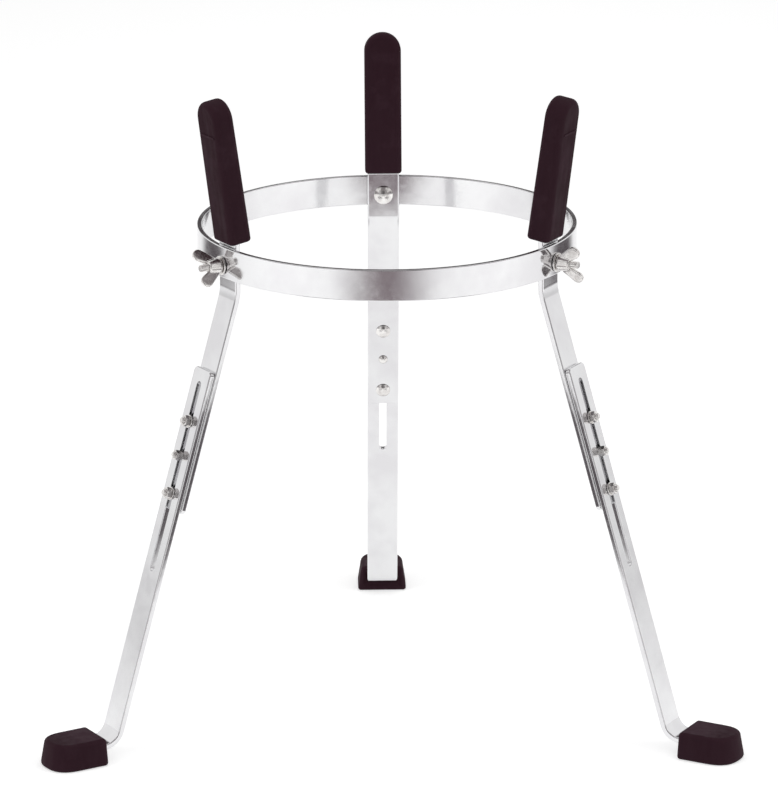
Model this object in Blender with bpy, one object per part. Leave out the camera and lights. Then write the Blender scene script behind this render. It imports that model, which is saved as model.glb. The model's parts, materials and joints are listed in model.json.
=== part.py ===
# Conga basket stand: a flat steel ring on three bent flat-bar legs.
# Each leg is an upper bar, with a rubber sleeve on its upright, and a slotted lower bar with a rubber foot.
# Units are metres, +Z is up, the floor is Z = 0 and the origin is the middle of the footprint.
# A leg is modelled in its own frame: X runs outward from the ring's axis, Y along the ring, Z up.
import math

import bmesh
import bpy
from mathutils import Matrix, Vector

# Clearances
FIT_GAP = 0.0003
BOLT_HOLE_PLAY = 0.0006

# Ring
RING_OUTER_RADIUS = 0.1525
RING_THICKNESS = 0.0042
RING_HEIGHT = 0.025
RING_TOP_HEIGHT = 0.405
RING_EDGE_ROUND = 0.0014
RING_SEGMENTS = 96

# Legs
LEG_AZIMUTHS = {"rear": 90.0, "left": 210.0, "right": 330.0}
BAR_WIDTH = 0.026
BAR_THICKNESS = 0.0048
BAR_EDGE_ROUND = 0.0018
BAR_CORNER_ROUND = 0.004
UPRIGHT_LEAN = 7.7
LEG_SPLAY = 17.2
BAR_BEND_RADIUS = 0.020
BEND_STEPS = 4

# Upper bar, measured along the bar
SEAT_ABOVE_BOLT = 0.0165
SEAT_BELOW_BOLT = 0.021
UPRIGHT_LENGTH = 0.1068
UPPER_END_BELOW_CLAMP = 0.0138

# Ring bolt, carriage type, with its washer and wing nut
RING_BOLT_BELOW_TOP = 0.0152
RING_BOLT_DIAMETER = 0.006
RING_BOLT_HEAD_DIAMETER = 0.0155
RING_BOLT_HEAD_HEIGHT = 0.0034
RING_BOLT_PAST_NUT = 0.007
RING_WASHER_DIAMETER = 0.0155
RING_WASHER_THICKNESS = 0.0016
WING_HUB_DIAMETER = 0.0132
WING_HUB_TOP_DIAMETER = 0.0105
WING_HUB_HEIGHT = 0.0105
WING_SPAN = 0.0325
WING_TIP_HEIGHT = 0.0200
WING_TIP_RADIUS = 0.0051
WING_THICKNESS = 0.0030
WING_EDGE_ROUND = 0.00084
WING_HUB_RIM = 0.0018
WING_HUB_CHAMFER = 0.0006
WING_ABOVE_SEAT = 0.0012
WING_BELOW_HUB_TOP = 0.0008
WING_TURNS = {"rear": 20.0, "left": 38.0, "right": 18.0}

# Height clamp: two carriage bolts and a middle screw through the slot of the lower bar
CLAMP_BOLT_DIAMETER = 0.005
CLAMP_BOLT_HEAD_DIAMETER = 0.012
CLAMP_BOLT_HEAD_HEIGHT = 0.0028
CLAMP_BOLT_PAST_NUT = 0.0022
CLAMP_WASHER_DIAMETER = 0.0105
CLAMP_WASHER_THICKNESS = 0.001
CLAMP_NUT_FLATS = 0.008
CLAMP_NUT_HEIGHT = 0.004
NUT_CHAMFER_SHARE = 0.14
CLAMP_BOLT_SPACING = 0.0595
RING_BOLT_TO_CLAMP = 0.1305
STOP_SCREW_DIAMETER = 0.004
STOP_SCREW_HEAD_DIAMETER = 0.0076
STOP_SCREW_HEAD_HEIGHT = 0.0024
PAN_HEAD_FLAT_SHARE = 0.7
PAN_HEAD_SIDE_SHARE = 0.6
PAN_HEAD_CROWN_SHARE = 0.95
STOP_SCREW_PAST_NUT = 0.0016
SCREW_END_CHAMFER = 0.0004
STOP_SCREW_SHARE = 0.475
STOP_NUT_FLATS = 0.007
STOP_NUT_HEIGHT = 0.006
SQUARE_NECK_LENGTH = 0.0032
NECK_INTO_HEAD_SHARE = 0.05

# Lower bar, measured along the bar
LOWER_TOP_ABOVE_CLAMP = 0.0435
SLOT_WIDTH = 0.0064
SLOT_TOP_MARGIN = 0.0105
SLOT_LENGTH = 0.157
TOE_BEND_RADIUS = 0.015
TOE_BEND_STEPS = 8
TOE_HEIGHT = 0.0125
TOE_LENGTH = 0.036

# Rubber sleeve on the upright, thicker towards its lower end
SLEEVE_WIDTH = 0.0302
SLEEVE_OUTER_WALL = 0.0045
SLEEVE_INNER_WALL_LOW = 0.0105
SLEEVE_INNER_WALL_TOP = 0.0085
SLEEVE_ABOVE_BAR = 0.009
SLEEVE_BOTTOM_ABOVE_RING = 0.0035
SLEEVE_CORNER_ROUND = 0.0045
SLEEVE_LOWER_EDGE_ROUND = 0.0024
SLEEVE_CREST_WIDTH = 0.0036
SLEEVE_TOP_STEPS = 7
SLEEVE_TOP_ROUND = 0.0068

# Rubber foot
FOOT_LENGTH = 0.047
FOOT_WIDTH = 0.0425
FOOT_HEIGHT = 0.0215
FOOT_TOP_WIDTH = 0.036
FOOT_TOP_SETBACK = 0.0035
FOOT_NOSE_LENGTH = 0.0215
FOOT_NOSE_POWER = 0.8
FOOT_CORNER_ROUND = 0.003
FOOT_TOP_ROUND = 0.0045
FOOT_SOLE_ROUND = 0.0025
FOOT_BEFORE_TOE_BEND = 0.0015

# Shape quality
ROUND_SEGMENTS = 16
DOME_STEPS = 3
FOOT_NOSE_STEPS = 10
FOOT_ROUND_STEPS = 3
CUT_PAST_FACE = 0.001
SHARP_ANGLE = math.radians(35.0)

# Sizes worked out from the values above
RING_INNER_RADIUS = RING_OUTER_RADIUS - RING_THICKNESS
BOLT_HEIGHT = RING_TOP_HEIGHT - RING_BOLT_BELOW_TOP
BAR_OUTER_FACE = math.sqrt(RING_INNER_RADIUS ** 2 - (BAR_WIDTH / 2) ** 2) - FIT_GAP
BAR_CENTRE_RADIUS = BAR_OUTER_FACE - BAR_THICKNESS / 2
SPLAY = math.radians(LEG_SPLAY)
LEAN = math.radians(UPRIGHT_LEAN)


def clear_scene():
    for item in list(bpy.data.objects):
        bpy.data.objects.remove(item, do_unlink=True)


def material(name, color, roughness, metallic):
    mat = bpy.data.materials.new(name)
    mat.use_nodes = True
    shader = mat.node_tree.nodes["Principled BSDF"]
    shader.inputs["Base Color"].default_value = (*color, 1.0)
    shader.inputs["Roughness"].default_value = roughness
    shader.inputs["Metallic"].default_value = metallic
    mat.diffuse_color = (*color, 1.0)
    return mat


def add_object(name, bm, mat, parent, place=Matrix.Identity(4)):
    bmesh.ops.remove_doubles(bm, verts=bm.verts, dist=0.00001)
    bmesh.ops.recalc_face_normals(bm, faces=bm.faces)
    mesh = bpy.data.meshes.new(name)
    bm.to_mesh(mesh)
    bm.free()
    mesh.materials.append(mat)
    mesh.shade_smooth()
    mesh.set_sharp_from_angle(angle=SHARP_ANGLE)
    obj = bpy.data.objects.new(name, mesh)
    bpy.context.scene.collection.objects.link(obj)
    obj.parent = parent
    obj.matrix_local = place
    return obj


# Outlines: lists of (x, y) points, anticlockwise

def arc(centre, radius, start, end, steps):
    points = []
    for i in range(steps + 1):
        angle = math.radians(start + (end - start) * i / steps)
        points.append((centre[0] + radius * math.cos(angle), centre[1] + radius * math.sin(angle)))
    return points


def rounded_rectangle(x0, x1, y0, y1, radius, steps=3):
    points = arc((x1 - radius, y0 + radius), radius, -90, 0, steps)
    points += arc((x1 - radius, y1 - radius), radius, 0, 90, steps)
    points += arc((x0 + radius, y1 - radius), radius, 90, 180, steps)
    points += arc((x0 + radius, y0 + radius), radius, 180, 270, steps)
    return points


def slot_outline(x0, x1, width, steps=8):
    radius = width / 2
    points = arc((x1 - radius, 0.0), radius, -90, 90, steps)
    points += arc((x0 + radius, 0.0), radius, 90, 270, steps)
    return points


def polygon(radius, corners, turn=0.0):
    step = 360.0 / corners
    return arc((0.0, 0.0), radius, turn, turn + step * (corners - 1), corners - 1)


def prism(points, low, high):
    """A closed prism of the outline, from low to high along Z."""
    bm = bmesh.new()
    base = bm.faces.new([bm.verts.new((x, y, low)) for x, y in points])
    bm.faces.ensure_lookup_table()
    grown = bmesh.ops.extrude_face_region(bm, geom=[base])
    tops = [item for item in grown["geom"] if isinstance(item, bmesh.types.BMVert)]
    bmesh.ops.translate(bm, verts=tops, vec=(0.0, 0.0, high - low))
    bmesh.ops.recalc_face_normals(bm, faces=bm.faces)
    return bm


def loft(rings):
    """A closed skin through rings of points that hold the same number of points each."""
    bm = bmesh.new()
    loops = []
    for ring in rings:
        loops.append([bm.verts.new(point) for point in ring])
    count = len(rings[0])
    for low, high in zip(loops, loops[1:]):
        for i in range(count):
            j = (i + 1) % count
            bm.faces.new((low[i], low[j], high[j], high[i]))
    bm.faces.new(list(reversed(loops[0])))
    bm.faces.new(loops[-1])
    return bm


def turned(profile, segments=ROUND_SEGMENTS):
    """A solid of revolution about Z. The profile's (radius, z) points start and end on the axis or close."""
    bm = bmesh.new()
    verts = [bm.verts.new((radius, 0.0, z)) for radius, z in profile]
    edges = [bm.edges.new(pair) for pair in zip(verts, verts[1:])]
    if profile[0][0] > 0:
        edges.append(bm.edges.new((verts[-1], verts[0])))
    bmesh.ops.spin(bm, geom=verts + edges, cent=(0, 0, 0), axis=(0, 0, 1), angle=math.tau, steps=segments,
                   use_merge=True)
    bmesh.ops.remove_doubles(bm, verts=bm.verts, dist=0.000001)
    bmesh.ops.recalc_face_normals(bm, faces=bm.faces)
    return bm


def combine(base, tools, operation="DIFFERENCE"):
    """The base mesh with each tool mesh cut away from it or joined to it."""
    def temporary(bm):
        mesh = bpy.data.meshes.new("work")
        bm.to_mesh(mesh)
        bm.free()
        obj = bpy.data.objects.new("work", mesh)
        bpy.context.scene.collection.objects.link(obj)
        return obj

    work = temporary(base)
    helpers = [temporary(tool) for tool in tools]
    for helper in helpers:
        step = work.modifiers.new("combine", "BOOLEAN")
        step.operation = operation
        step.solver = "EXACT"
        step.object = helper
    graph = bpy.context.evaluated_depsgraph_get()
    done = bmesh.new()
    done.from_object(work, graph)
    for item in [work, *helpers]:
        bpy.data.objects.remove(item, do_unlink=True)
    return done


def bevel_edges(bm, edges, width, segments):
    bmesh.ops.bevel(bm, geom=edges, offset=width, offset_type="OFFSET", segments=segments, profile=0.5,
                    affect="EDGES", clamp_overlap=True, material=-1)


# Flat bars are punched as straight strips along X and then bent

def flat_strip(length, cuts):
    outline = rounded_rectangle(0.0, length, -BAR_WIDTH / 2, BAR_WIDTH / 2, BAR_CORNER_ROUND)
    strip = prism(outline, -BAR_THICKNESS / 2, BAR_THICKNESS / 2)
    rims = [edge for edge in strip.edges if abs(edge.verts[0].co.z - edge.verts[1].co.z) < 1e-6]
    bevel_edges(strip, rims, BAR_EDGE_ROUND, 2)
    tools = [prism(cut, -BAR_THICKNESS, BAR_THICKNESS) for cut in cuts]
    return combine(strip, tools)


def bend_strip(strip, start, heading, bends):
    """Carry the strip onto a path in the leg's XZ plane.

    start is the path's first point, heading its first angle from straight down towards outward, and bends
    are (distance along the strip, turn, radius, steps), the turn positive towards outward.
    """
    for distance, turn, radius, steps in bends:
        for i in range(steps + 1):
            cut = distance + abs(turn) * radius * i / steps
            bmesh.ops.bisect_plane(strip, geom=strip.verts[:] + strip.edges[:] + strip.faces[:],
                                   plane_co=(cut, 0, 0), plane_no=(1, 0, 0), dist=1e-7)

    def path(distance):
        point = Vector(start)
        angle = heading
        done = 0.0
        for begin, turn, radius, _ in bends:
            run = min(distance, begin) - done
            point = point + run * Vector((math.sin(angle), -math.cos(angle)))
            done += run
            if distance <= begin:
                return point, angle
            along = min(distance - begin, abs(turn) * radius)
            side = math.copysign(1.0, turn)
            new_angle = angle + side * along / radius
            centre = point + side * radius * Vector((math.cos(angle), math.sin(angle)))
            point = centre - side * radius * Vector((math.cos(new_angle), math.sin(new_angle)))
            angle = new_angle
            done += along
        point = point + (distance - done) * Vector((math.sin(angle), -math.cos(angle)))
        return point, angle

    for vert in strip.verts:
        point, angle = path(vert.co.x)
        outward = Vector((math.cos(angle), math.sin(angle)))
        spot = point + vert.co.z * outward
        vert.co = (spot.x, vert.co.y, spot.y)
    return path


# Places along the leg, in its own frame

def down_leg(distance, outward=0.0):
    """A point below the seat's lower bend, by distance along the upper bar and outward from its centre line."""
    turn_run = SPLAY * BAR_BEND_RADIUS
    straight = distance - SEAT_BELOW_BOLT - turn_run
    x = BAR_CENTRE_RADIUS + BAR_BEND_RADIUS * (1 - math.cos(SPLAY)) + straight * math.sin(SPLAY)
    z = BOLT_HEIGHT - SEAT_BELOW_BOLT - BAR_BEND_RADIUS * math.sin(SPLAY) - straight * math.cos(SPLAY)
    return Vector((x + outward * math.cos(SPLAY), 0.0, z + outward * math.sin(SPLAY)))


def clamp_place(distance, outward):
    """A frame on the leg whose Z axis points outward, square to the bars, and whose X axis runs down them."""
    turn = Matrix.Rotation(math.pi / 2 - SPLAY, 4, "Y")
    return Matrix.Translation(down_leg(distance, outward)) @ turn


UPPER_CLAMP = RING_BOLT_TO_CLAMP
LOWER_CLAMP = RING_BOLT_TO_CLAMP + CLAMP_BOLT_SPACING
STOP_SCREW = RING_BOLT_TO_CLAMP + CLAMP_BOLT_SPACING * STOP_SCREW_SHARE
BAR_SPACING = BAR_THICKNESS + FIT_GAP
LOWER_BAR_OUTER_FACE = BAR_SPACING + BAR_THICKNESS / 2
SLOT_TOP = UPPER_CLAMP - LOWER_TOP_ABOVE_CLAMP + SLOT_TOP_MARGIN
TOE_TURN = math.pi / 2 - SPLAY


def toe_bend_distance():
    """Distance from the ring bolt to the toe bend, so that the toe lies level at TOE_HEIGHT."""
    bend_drop = TOE_BEND_RADIUS * (1 - math.sin(SPLAY))
    start_height = TOE_HEIGHT + bend_drop
    straight = (down_leg(0.0, BAR_SPACING).z - start_height) / math.cos(SPLAY)
    return straight


def toe_start_radius():
    """Radius at which the toe has come level."""
    return down_leg(toe_bend_distance(), BAR_SPACING).x + TOE_BEND_RADIUS * math.cos(SPLAY)


def drum_ring(mat, parent):
    inner = RING_INNER_RADIUS
    outer = RING_OUTER_RADIUS
    soft = RING_EDGE_ROUND
    low = RING_TOP_HEIGHT - RING_HEIGHT
    high = RING_TOP_HEIGHT
    profile = [(inner + soft, low), (outer - soft, low), (outer, low + soft), (outer, high - soft)]
    profile += [(outer - soft, high), (inner + soft, high), (inner, high - soft), (inner, low + soft)]
    band = turned(profile, RING_SEGMENTS)
    holes = []
    for azimuth in LEG_AZIMUTHS.values():
        hole = prism(polygon((RING_BOLT_DIAMETER + BOLT_HOLE_PLAY) / 2, ROUND_SEGMENTS),
                     -RING_THICKNESS, RING_THICKNESS)
        place = Matrix.Rotation(math.radians(azimuth), 4, "Z")
        place = place @ Matrix.Translation((RING_OUTER_RADIUS - RING_THICKNESS / 2, 0.0, BOLT_HEIGHT))
        hole.transform(place @ Matrix.Rotation(math.pi / 2, 4, "Y"))
        holes.append(hole)
    return add_object("drum_ring", combine(band, holes), mat, parent)


def square(side):
    return rounded_rectangle(-side / 2, side / 2, -side / 2, side / 2, side * 0.1, 1)


def shifted(points, x):
    return [(px + x, py) for px, py in points]


def upper_leg(side, mat, parent):
    seat_start = UPRIGHT_LENGTH + LEAN * BAR_BEND_RADIUS
    bolt = seat_start + SEAT_ABOVE_BOLT
    length = bolt + LOWER_CLAMP + UPPER_END_BELOW_CLAMP
    cuts = [shifted(square(RING_BOLT_DIAMETER + BOLT_HOLE_PLAY), bolt)]
    for distance in (UPPER_CLAMP, LOWER_CLAMP):
        cuts.append(shifted(square(CLAMP_BOLT_DIAMETER + BOLT_HOLE_PLAY), bolt + distance))
    round_hole = polygon((STOP_SCREW_DIAMETER + BOLT_HOLE_PLAY) / 2, 12)
    cuts.append(shifted(round_hole, bolt + STOP_SCREW))
    strip = flat_strip(length, cuts)
    top_of_seat = Vector((BAR_CENTRE_RADIUS, BOLT_HEIGHT + SEAT_ABOVE_BOLT))
    bend_start = top_of_seat + BAR_BEND_RADIUS * Vector((1 - math.cos(LEAN), math.sin(LEAN)))
    start = bend_start + UPRIGHT_LENGTH * Vector((math.sin(LEAN), math.cos(LEAN)))
    bends = [(UPRIGHT_LENGTH, LEAN, BAR_BEND_RADIUS, BEND_STEPS),
             (bolt + SEAT_BELOW_BOLT, SPLAY, BAR_BEND_RADIUS, BEND_STEPS)]
    bend_strip(strip, start, -LEAN, bends)
    return add_object(f"{side}_upper_leg", strip, mat, parent)


def lower_leg(side, mat, parent):
    top = UPPER_CLAMP - LOWER_TOP_ABOVE_CLAMP
    bend_at = toe_bend_distance() - top
    length = bend_at + TOE_TURN * TOE_BEND_RADIUS + TOE_LENGTH
    slot_start = SLOT_TOP - top
    strip = flat_strip(length, [slot_outline(slot_start, slot_start + SLOT_LENGTH, SLOT_WIDTH)])
    start = down_leg(top, BAR_SPACING)
    bend_strip(strip, (start.x, start.z), SPLAY, [(bend_at, TOE_TURN, TOE_BEND_RADIUS, TOE_BEND_STEPS)])
    origin = down_leg(UPPER_CLAMP, BAR_SPACING)
    strip.transform(Matrix.Translation(-origin))
    return add_object(f"{side}_lower_leg", strip, mat, parent, Matrix.Translation(origin))


def upright_sleeve(side, mat, parent):
    """A thick rubber cover with a round top, drawn along its own upright."""
    bottom = RING_TOP_HEIGHT + SLEEVE_BOTTOM_ABOVE_RING
    top_of_seat = Vector((BAR_CENTRE_RADIUS, 0.0, BOLT_HEIGHT + SEAT_ABOVE_BOLT))
    bend_start = top_of_seat + BAR_BEND_RADIUS * Vector((1 - math.cos(LEAN), 0.0, math.sin(LEAN)))
    place = Matrix.Translation(bend_start) @ Matrix.Rotation(LEAN, 4, "Y")
    low = (bottom - bend_start.z) / math.cos(LEAN)
    high = UPRIGHT_LENGTH + SLEEVE_ABOVE_BAR
    outer = BAR_THICKNESS / 2 + SLEEVE_OUTER_WALL
    half = SLEEVE_WIDTH / 2
    shoulder = high - half

    def section(z, width, shrink):
        share = (z - low) / (high - low)
        wall = SLEEVE_INNER_WALL_LOW + (SLEEVE_INNER_WALL_TOP - SLEEVE_INNER_WALL_LOW) * share
        inner = -BAR_THICKNESS / 2 - wall
        radius = min(SLEEVE_CORNER_ROUND, width * 0.75, ((outer - inner) / 2 - shrink) * 0.9)
        points = rounded_rectangle(inner + shrink, outer - shrink, -width, width, radius)
        return [(x, y, z) for x, y in points]

    soft = SLEEVE_LOWER_EDGE_ROUND
    sections = [section(low, half - soft, soft), section(low + soft, half, 0.0), section(shoulder, half, 0.0)]
    for i in range(1, SLEEVE_TOP_STEPS):
        angle = math.pi / 2 * i / SLEEVE_TOP_STEPS
        z = shoulder + half * math.sin(angle)
        into_top = max(0.0, z - (high - SLEEVE_TOP_ROUND)) / SLEEVE_TOP_ROUND
        shrink = SLEEVE_TOP_ROUND * (1 - math.sqrt(1 - into_top ** 2))
        sections.append(section(z, max(half * math.cos(angle), SLEEVE_CREST_WIDTH), shrink))
    sections.append(section(high, SLEEVE_CREST_WIDTH / 2, SLEEVE_TOP_ROUND))
    pocket_half = BAR_WIDTH / 2 + FIT_GAP
    pocket = prism(rounded_rectangle(low - CUT_PAST_FACE - BAR_CORNER_ROUND, UPRIGHT_LENGTH + FIT_GAP, -pocket_half,
                                     pocket_half, BAR_CORNER_ROUND),
                   -BAR_THICKNESS / 2 - FIT_GAP, BAR_THICKNESS / 2 + FIT_GAP)
    pocket.transform(Matrix(((0, 0, 1, 0), (0, 1, 0, 0), (1, 0, 0, 0), (0, 0, 0, 1))))
    bmesh.ops.recalc_face_normals(pocket, faces=pocket.faces)
    return add_object(f"{side}_upright_sleeve", combine(loft(sections), [pocket]), mat, parent, place)


def carriage_bolt(name, diameter, head_diameter, head_height, length, mat, parent, place):
    """A domed head below Z = 0, a square neck and a round shank along +Z."""
    head_radius = head_diameter / 2
    shank_radius = diameter / 2
    sphere = (head_radius ** 2 + head_height ** 2) / (2 * head_height)
    limit = math.asin(head_radius / sphere)
    profile = []
    for i in range(DOME_STEPS + 1):
        angle = limit * i / DOME_STEPS
        profile.append((sphere * math.sin(angle), -head_height + sphere * (1 - math.cos(angle)) - FIT_GAP))
    profile.append((shank_radius, -FIT_GAP))
    profile.append((shank_radius, length - SCREW_END_CHAMFER))
    profile.append((shank_radius - SCREW_END_CHAMFER, length))
    profile.append((0.0, length))
    neck = prism(square(diameter), -FIT_GAP - head_height * NECK_INTO_HEAD_SHARE, SQUARE_NECK_LENGTH)
    return add_object(name, combine(turned(profile), [neck], "UNION"), mat, parent, place)


def washer(name, outer_diameter, bore, thickness, mat, parent, place):
    profile = [(bore / 2, 0.0), (outer_diameter / 2, 0.0), (outer_diameter / 2, thickness), (bore / 2, thickness)]
    return add_object(name, turned(profile), mat, parent, place)


def hex_nut(name, flats, height, bore, mat, parent, place):
    """A hexagon with its outer corners turned off and a round bore."""
    body = prism(polygon(flats / math.sqrt(3), 6), 0.0, height)
    cut = height * NUT_CHAMFER_SHARE
    corner = flats / math.sqrt(3) + cut
    trim = turned([(0.0, -CUT_PAST_FACE), (corner, -CUT_PAST_FACE), (corner, height - 2 * cut),
                   (flats / 2, height), (0.0, height)])
    hole = prism(polygon(bore / 2, ROUND_SEGMENTS), -CUT_PAST_FACE, height + CUT_PAST_FACE)
    return add_object(name, combine(combine(body, [trim], "INTERSECT"), [hole]), mat, parent, place)


def wing_nut(side, mat, parent):
    """A tapered hub with two thumb wings that flare away from the ring."""
    hub_radius = WING_HUB_DIAMETER / 2
    hub_top = WING_HUB_TOP_DIAMETER / 2
    hub = turned([(0.0, 0.0), (hub_radius, 0.0), (hub_radius, WING_HUB_RIM),
                  (hub_top, WING_HUB_HEIGHT - WING_HUB_CHAMFER), (hub_top - WING_HUB_CHAMFER, WING_HUB_HEIGHT),
                  (0.0, WING_HUB_HEIGHT)])
    reach = WING_SPAN / 2 - WING_TIP_RADIUS
    tip_centre = WING_TIP_HEIGHT - WING_TIP_RADIUS
    outline = [(hub_top * 0.5, WING_ABOVE_SEAT), (hub_radius * 0.95, WING_ABOVE_SEAT)]
    outline += arc((reach, tip_centre), WING_TIP_RADIUS, -38, 150, 8)
    outline += [(hub_top * 0.5, WING_HUB_HEIGHT - WING_BELOW_HUB_TOP)]
    tools = []
    for turn in (0.0, math.pi):
        wing = prism(outline, -WING_THICKNESS / 2, WING_THICKNESS / 2)
        rims = [edge for edge in wing.edges if abs(edge.verts[0].co.z - edge.verts[1].co.z) < 1e-6]
        bevel_edges(wing, rims, WING_EDGE_ROUND, 1)
        wing.transform(Matrix.Rotation(turn, 4, "Z") @ Matrix.Rotation(math.pi / 2, 4, "X"))
        tools.append(wing)
    body = combine(hub, tools, "UNION")
    hole = prism(polygon((RING_BOLT_DIAMETER + BOLT_HOLE_PLAY) / 2, ROUND_SEGMENTS), -CUT_PAST_FACE, WING_TIP_HEIGHT)
    body = combine(body, [hole])
    seat = RING_OUTER_RADIUS + FIT_GAP + RING_WASHER_THICKNESS + FIT_GAP
    place = Matrix.Translation((seat, 0.0, BOLT_HEIGHT)) @ Matrix.Rotation(math.pi / 2, 4, "Y")
    place = place @ Matrix.Rotation(math.radians(WING_TURNS[side]), 4, "Z")
    return add_object(f"{side}_wing_nut", body, mat, parent, place)


def ring_fasteners(side, steel, parent):
    face = BAR_CENTRE_RADIUS - BAR_THICKNESS / 2
    nut_top = RING_OUTER_RADIUS + 2 * FIT_GAP + RING_WASHER_THICKNESS + WING_HUB_HEIGHT
    square_to_ring = Matrix.Rotation(math.pi / 2, 4, "Y")
    place = Matrix.Translation((face, 0.0, BOLT_HEIGHT)) @ square_to_ring
    carriage_bolt(f"{side}_ring_bolt", RING_BOLT_DIAMETER, RING_BOLT_HEAD_DIAMETER, RING_BOLT_HEAD_HEIGHT,
                  nut_top + RING_BOLT_PAST_NUT - face, steel, parent, place)
    place = Matrix.Translation((RING_OUTER_RADIUS + FIT_GAP, 0.0, BOLT_HEIGHT)) @ square_to_ring
    washer(f"{side}_ring_washer", RING_WASHER_DIAMETER, RING_BOLT_DIAMETER + BOLT_HOLE_PLAY,
           RING_WASHER_THICKNESS, steel, parent, place)
    wing_nut(side, steel, parent)


def clamp_fasteners(side, steel, parent):
    washer_base = LOWER_BAR_OUTER_FACE + FIT_GAP
    nut_base = washer_base + CLAMP_WASHER_THICKNESS + FIT_GAP
    inner_face = -BAR_THICKNESS / 2
    bore = CLAMP_BOLT_DIAMETER + BOLT_HOLE_PLAY
    bolt_length = nut_base + CLAMP_NUT_HEIGHT + CLAMP_BOLT_PAST_NUT - inner_face
    for level, distance in (("upper", UPPER_CLAMP), ("lower", LOWER_CLAMP)):
        carriage_bolt(f"{side}_{level}_clamp_bolt", CLAMP_BOLT_DIAMETER, CLAMP_BOLT_HEAD_DIAMETER,
                      CLAMP_BOLT_HEAD_HEIGHT, bolt_length, steel, parent, clamp_place(distance, inner_face))
        washer(f"{side}_{level}_clamp_washer", CLAMP_WASHER_DIAMETER, bore, CLAMP_WASHER_THICKNESS, steel,
               parent, clamp_place(distance, washer_base))
        hex_nut(f"{side}_{level}_clamp_nut", CLAMP_NUT_FLATS, CLAMP_NUT_HEIGHT, bore, steel, parent,
                clamp_place(distance, nut_base))
    stop_screw(side, steel, parent, inner_face)


def stop_screw(side, steel, parent, inner_face):
    """The middle screw: a pan head inside, and a tall nut that bears on the slot's rails outside."""
    head = STOP_SCREW_HEAD_DIAMETER / 2
    shank = STOP_SCREW_DIAMETER / 2
    nut_base = LOWER_BAR_OUTER_FACE + FIT_GAP
    end = nut_base + STOP_NUT_HEIGHT + STOP_SCREW_PAST_NUT - inner_face
    top = -STOP_SCREW_HEAD_HEIGHT - FIT_GAP
    profile = [(0.0, top), (head * PAN_HEAD_FLAT_SHARE, top * PAN_HEAD_CROWN_SHARE),
               (head, top * PAN_HEAD_SIDE_SHARE), (head, -FIT_GAP), (shank, -FIT_GAP),
               (shank, end - SCREW_END_CHAMFER), (shank - SCREW_END_CHAMFER, end), (0.0, end)]
    add_object(f"{side}_stop_screw", turned(profile), steel, parent, clamp_place(STOP_SCREW, inner_face))
    hex_nut(f"{side}_stop_nut", STOP_NUT_FLATS, STOP_NUT_HEIGHT, STOP_SCREW_DIAMETER + BOLT_HOLE_PLAY, steel,
            parent, clamp_place(STOP_SCREW, nut_base))


def foot_outline(length, width, inset=0.0):
    """Plan of a foot: square at the leg's end, drawn in to a round nose at the outer end."""
    half = width / 2 - inset
    corner = max(FOOT_CORNER_ROUND - inset / 2, FIT_GAP)
    nose = min(FOOT_NOSE_LENGTH, length - 2 * corner)
    points = arc((inset + corner, -half + corner), corner, 180, 270, 2)
    for i in range(FOOT_NOSE_STEPS + 1):
        angle = -math.pi / 2 + math.pi * i / FOOT_NOSE_STEPS
        lift = math.copysign(abs(math.sin(angle)) ** FOOT_NOSE_POWER, math.sin(angle))
        points.append((length - nose + (nose - inset) * abs(math.cos(angle)) ** FOOT_NOSE_POWER, half * lift))
    return points + arc((inset + corner, half - corner), corner, 90, 180, 2)


def foot_start():
    return toe_start_radius() + FOOT_BEFORE_TOE_BEND


def rubber_foot(side, mat, parent):
    start = foot_start()
    rings = []

    def add_ring(z, inset):
        share = z / FOOT_HEIGHT
        width = FOOT_WIDTH + (FOOT_TOP_WIDTH - FOOT_WIDTH) * share
        outline = foot_outline(FOOT_LENGTH - FOOT_TOP_SETBACK * share, width, inset)
        rings.append([(x, y, z) for x, y in outline])

    for i in range(FOOT_ROUND_STEPS + 1):
        angle = math.pi / 2 * i / FOOT_ROUND_STEPS
        add_ring(FOOT_SOLE_ROUND * (1 - math.cos(angle)), FOOT_SOLE_ROUND * (1 - math.sin(angle)))
    for i in range(FOOT_ROUND_STEPS + 1):
        angle = math.pi / 2 * i / FOOT_ROUND_STEPS
        add_ring(FOOT_HEIGHT - FOOT_TOP_ROUND * (1 - math.sin(angle)), FOOT_TOP_ROUND * (1 - math.cos(angle)))
    body = loft(rings)
    half = BAR_WIDTH / 2 + FIT_GAP
    depth = toe_start_radius() + TOE_LENGTH + FIT_GAP - start
    pocket = prism(rounded_rectangle(-depth, depth, -half, half, BAR_CORNER_ROUND),
                   TOE_HEIGHT - BAR_THICKNESS / 2 - FIT_GAP, TOE_HEIGHT + BAR_THICKNESS / 2 + FIT_GAP)
    return add_object(f"{side}_foot", combine(body, [pocket]), mat, parent, Matrix.Translation((start, 0.0, 0.0)))


def ring_centre_y():
    """The ring axis lies forward of the origin, because the footprint's middle is nearer the rear foot."""
    start = foot_start()
    back = start + FOOT_LENGTH
    front = 0.0
    for x, y in foot_outline(FOOT_LENGTH, FOOT_WIDTH):
        azimuth = math.radians(LEG_AZIMUTHS["left"])
        front = min(front, (start + x) * math.sin(azimuth) - abs(y) * abs(math.cos(azimuth)))
    return -(back + front) / 2


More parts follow.
